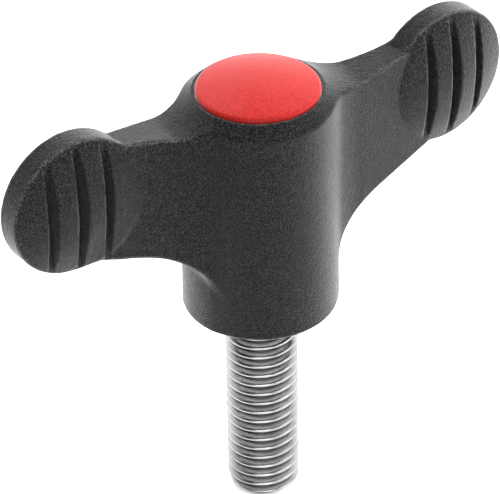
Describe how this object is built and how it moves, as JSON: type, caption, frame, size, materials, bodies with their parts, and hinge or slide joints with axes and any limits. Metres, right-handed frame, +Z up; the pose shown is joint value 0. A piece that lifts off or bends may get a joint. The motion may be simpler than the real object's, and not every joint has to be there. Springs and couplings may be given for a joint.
{
  "type": "threaded wing knob",
  "caption": "Black wing knob with two grooved finger pads, a red press-in cap and a threaded steel stud; turned by hand to clamp or set a part.",
  "frame": {"origin": "centre of the underside of the boss, on the stud's axis", "axes": "-Z along the stud towards its free end, +Z up to the cap, +X and -X along the two wings"},
  "size_m": [0.0606, 0.0166, 0.0534],
  "materials": {
    "black_plastic": "matte, fine spark-eroded texture",
    "red_plastic": "matte, fine texture",
    "stainless_steel": "bright, rolled thread"
  },
  "bodies": {
    "root": {"wing_body": "black_plastic", "cap": "red_plastic", "threaded_stud": "stainless_steel"}
  },
  "joints": []
}
